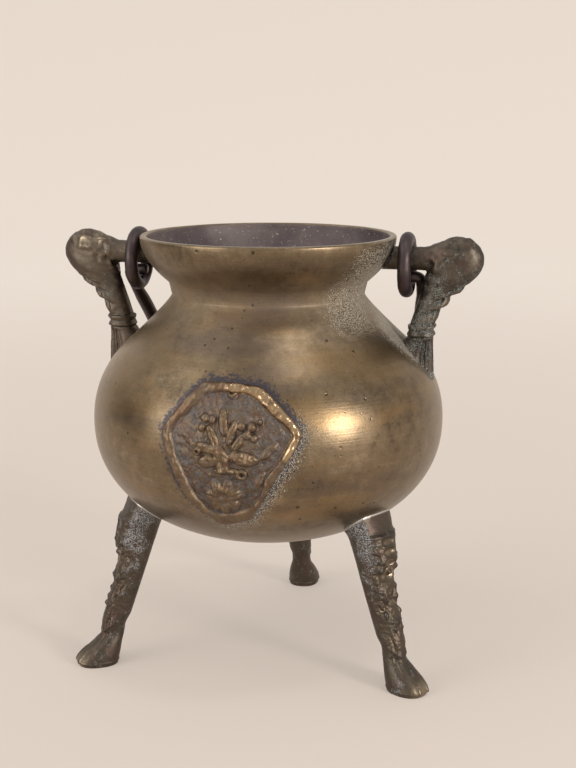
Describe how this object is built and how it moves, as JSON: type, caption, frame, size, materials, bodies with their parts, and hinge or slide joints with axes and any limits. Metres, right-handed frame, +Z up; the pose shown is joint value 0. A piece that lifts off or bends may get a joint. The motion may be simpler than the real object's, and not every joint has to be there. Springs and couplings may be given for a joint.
{
  "type": "tripod cauldron",
  "caption": "Small round-bellied bronze cauldron on three splayed legs, with looped shoulder handles, a floral medallion and a swinging bail on loose rings.",
  "frame": {"origin": "on the ground, in the middle of the whole part's box; the vessel's own axis stands 4.1 mm in front of it", "axes": "+Z up, the two handles along X, the medallion towards -Y and the back leg towards +Y"},
  "size_m": [0.1714, 0.1558, 0.1742],
  "materials": {
    "vessel_bronze": "satin turned bronze with olive-brown patina and fine pits",
    "medallion_bronze": "cast relief, bright orange-gold on the highs and dark in the recesses",
    "leg_bronze": "corroded cast bronze with grey-white grain",
    "handle_bronze": "dark cast bronze with green and grey deposits",
    "bail_iron": "dark purple-brown, smooth from handling"
  },
  "bodies": {
    "pot": {"vessel": "vessel_bronze", "medallion": "medallion_bronze", "leg_left": "leg_bronze", "leg_right": "leg_bronze", "leg_back": "leg_bronze", "handle_left": "handle_bronze", "handle_right": "handle_bronze"},
    "bail": {"bail": "bail_iron", "ring_left": "bail_iron", "ring_right": "bail_iron"}
  },
  "joints": [
    {"name": "bail_swing", "type": "hinge", "parent": "pot", "child": "bail", "pos_m": [0, -0.00414, 0.164], "axis": [1, 0, 0], "range_deg": [0, 270]}
  ]
}
